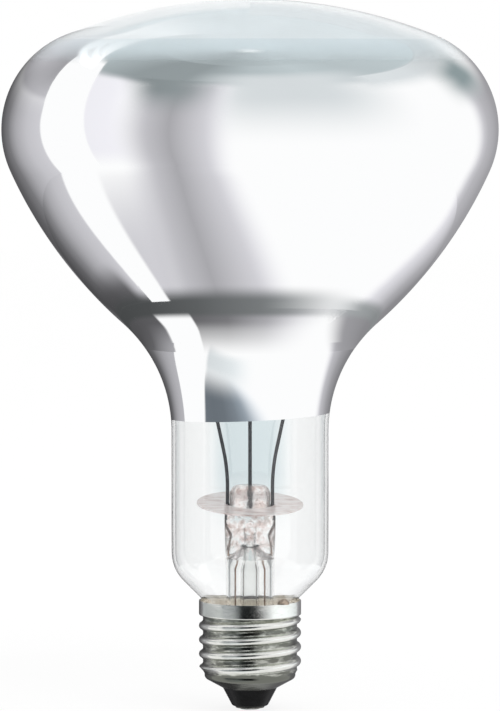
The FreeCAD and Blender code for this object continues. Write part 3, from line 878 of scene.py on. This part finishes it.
wall(
    "smudge_top", start=(-50, -74), end=(-8, -4), heights=(165, 266),
    levels=[0.34, 0.29, 0.33, 0.5], softness=(0.4, 0.5, 0.6, 0.1), colour=SKY, layer=3, bend=2,
)
wall(
    "right_high", start=45, end=BACK, heights=(210, 272),
    levels=[0.74, 0.78, 0.76, 0.68, 0.62, 0.66, 0.74, 0.8], softness=(0.1, 0, 0.6, 0.1),
    colour=COOL, layer=1,
)
wall(
    "right_patch", start=84, end=138, heights=(168, 248), levels=[0.36, 0.34, 0.36],
    softness=(0.5, 0.4, 0.4, 0.45), colour=TEAL, layer=3,
)
wall(
    "right_edge", start=(106, 92), end=BACK, heights=(WALL_FOOT, 212),
    levels=[0.85, 0.5, 0.38, 0.33, 0.36, 0.5], softness=(0.15, 0, 0, 0.35), colour=VIOLET, layer=2,
)

# What the bowl mirrors below that, on level decks round its flank
deck("deck_white", start=-BACK, end=BACK, radii=(WALL_RADIUS, 29), levels=[1, 1])
deck(
    "deck_left", start=(-176, -143), end=(-86, -53), radii=(WALL_RADIUS, 41),
    levels=[0.5, 0.28, 0.12, 0.07, 0.09, 0.13, 0.24, 0.42, 0.56, 0.64], softness=(0, 0.02, 0, 0),
    colour=VIOLET, layer=1, bend=2.3,
)
deck(
    "deck_back", start=-BACK, end=(-174, -141), radii=(WALL_RADIUS, 41), levels=[0.6, 0.52],
    layer=1, bend=2.3,
)
deck(
    "deck_beside_strip", start=(-68, -58), end=(-30, -28), radii=(WALL_RADIUS, 42),
    levels=[0.66, 0.62], softness=(0, 0.4, 0.85, 0), colour=VIOLET, layer=1,
)
deck(
    "deck_smudge", start=(-52, -55), end=(-4, 26), radii=(WALL_RADIUS, 40), levels=SMUDGE_LEVELS,
    softness=(0.35, 0.25, 0, 0), colour=VIOLET, layer=2, bend=2,
)
deck(
    "deck_right", start=(106, 56), end=(BACK, 150), radii=(WALL_RADIUS, 40),
    levels=[0.95, 0.72, 0.44, 0.28, 0.26, 0.36, 0.5], softness=(0.15, 0, 0, 0), colour=VIOLET,
    layer=1, bend=2.3,
)
deck(
    "deck_low_left", start=(-BACK, -160), end=(-72, -54), radii=(62, 41),
    levels=[0.5, 0.2, 0.07, 0.09, 0.14], softness=(0, 0.1, 0.8, 0), colour=VIOLET, layer=2,
)
deck(
    "inner_left", start=-BACK, end=(-57, -35), radii=(38, 20), levels=[0.5, 0.24, 0.08, 0.09, 0.12],
    softness=(0, 0.02, 0, 0), colour=VIOLET, layer=2,
)
deck(
    "inner_front", start=(-34, -25), end=(56, 30), radii=(38, 26),
    levels=[0.14, 0.2, 0.42, 0.7, 0.9], softness=(0.02, 0.5, 0, 0.7), colour=VIOLET, layer=2,
)
deck(
    "inner_right", start=(38, 50), end=BACK, radii=(38, 20), levels=[0.4, 0.27, 0.24, 0.24],
    softness=(0.14, 0, 0, 0), colour=VIOLET, layer=2,
)
deck(
    "inner_left_pale", start=-150, end=(-52, -35), radii=(34, 20),
    levels=[0.1, 0.1, 0.08, 0.08, 0.13, 0.44], softness=(0.5, 0.02, 0.5, 0), colour=VIOLET, layer=3,
)
deck(
    "crescent", start=-BACK, end=66, radii=(46.5, 34.5),
    levels=[0.4, 0.18, 0.065, 0.07, 0.08, 0.12, 0.2, 0.34, 0.55], softness=(0, 0.25, 0.5, 0.2),
    colour=COOL, layer=4,
)
deck(
    "crescent_end", start=34, end=BACK, radii=(44, 34.5), levels=[0.6, 0.38, 0.27, 0.27, 0.3, 0.35],
    softness=(0.25, 0, 0.5, 0.3), colour=COOL, layer=5,
)
deck(
    "deck_strip", start=(-86, -53), end=(-62, -40), radii=(WALL_RADIUS, 40.7), levels=[1, 1],
    softness=(0.02, 0.15, 0, 0), layer=6, bend=2.3,
)

# What the silvered neck mirrors, seen past the decks
wall(
    "neck_left", start=-BACK, end=(-142, -100), heights=(-170, 90),
    levels=[0.36, 0.12, 0.08, 0.1, 0.14, 0.26, 0.38, 0.46, 0.5], softness=(0, 0.02, 0.1, 0),
    colour=VIOLET, layer=1, bend=0.5,
)
wall(
    "neck_patch", start=-66, end=(-25, 44), heights=(-50, 62),
    levels=[0.18, 0.17, 0.18, 0.24, 0.38, 0.62, 0.9], softness=(0.04, 0.4, 0.62, 0), colour=BLUE,
    layer=2,
)
wall(
    "neck_veil", start=(-92, -62), end=10, heights=(-230, 30), levels=[0.72, 0.78, 0.88, 0.95],
    softness=(0.08, 0.5, 0.5, 0.4), colour=COOL, layer=1, bend=0.6,
)
wall(
    "neck_right", start=(142, 94), end=BACK, heights=(-200, 80),
    levels=[0.95, 0.54, 0.35, 0.25, 0.22, 0.34], softness=(0.2, 0, 0.5, 0), colour=VIOLET, layer=1,
)

# What the cap's thread and collar mirror, on a roof that bowl and neck see through
card(
    "cap_front", start=-34, end=24, radii=(90, 45), heights=(-30, 36),
    levels=[0.2, 0.04, 0.03, 0.08], softness=(0.35, 0.35, 0.3, 0.1), colour=TEAL, only_from="back",
)
card(
    "collar_front", start=-120, end=120, radii=(60, 53), heights=(13.7, 24),
    levels=[0.6, 0.5, 0.5, 0.6, 0.6, 0.5, 0, 0, 0, 0.6, 1.4, 1.4, 1.3, 1.1, 0.9], colour=COOL,
    only_from="back",
)

# What the clear glass shows: a faint blue behind the leads, and grey that its edges bend in
card(
    "bowl_shade", start=166, end=194, radii=60, heights=(38, 74), levels=[0.79, 0.79],
    softness=(0.3, 0.3, 0.5, 0), colour=SKY, glossy=False, transmission=True,
)
for side, sign in (("left", -1), ("right", 1)):
    wall(
        "glass_edge_" + side, start=sign * 70, end=sign * 140, heights=(-50, 130),
        levels=[0.3, 0.3], colour=COOL, glossy=False, transmission=True,
    )
